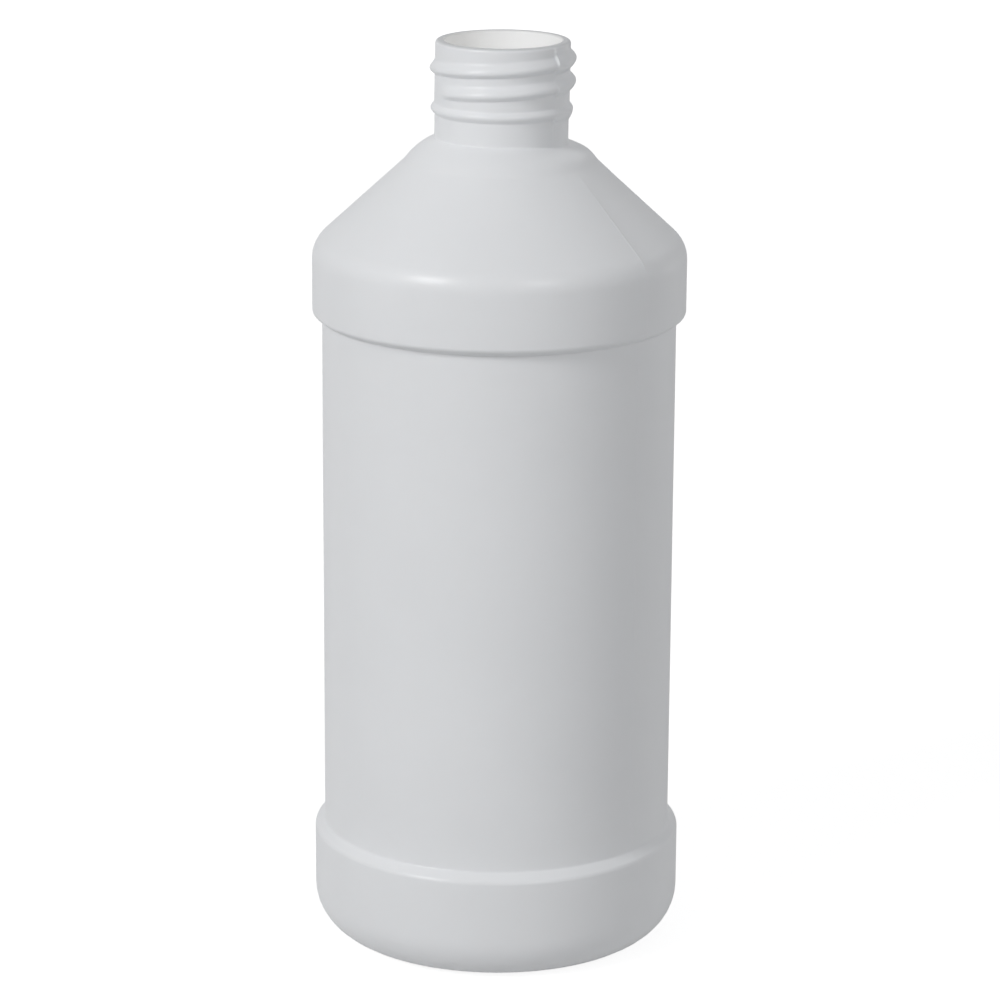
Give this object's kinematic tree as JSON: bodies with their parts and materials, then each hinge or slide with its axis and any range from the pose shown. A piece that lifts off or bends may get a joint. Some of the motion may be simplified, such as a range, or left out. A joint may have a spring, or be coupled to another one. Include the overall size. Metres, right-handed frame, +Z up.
{
  "type": "round plastic bottle",
  "caption": "Round white blown plastic bottle with raised bands above and below a recessed label panel, a conical shoulder and an open neck with a screw thread.",
  "frame": {"origin": "centre of the foot ring, in the plane that the bottle stands on", "axes": "+Z up along the bottle's axis, through the middle of the mouth; -Y towards the viewer of the picture; +X to the viewer's right"},
  "size_m": [0.0706, 0.0706, 0.174],
  "materials": {
    "white_hdpe": "satin natural surface of white blown polyethylene"
  },
  "bodies": {
    "root": {"bottle": "white_hdpe"}
  },
  "joints": []
}
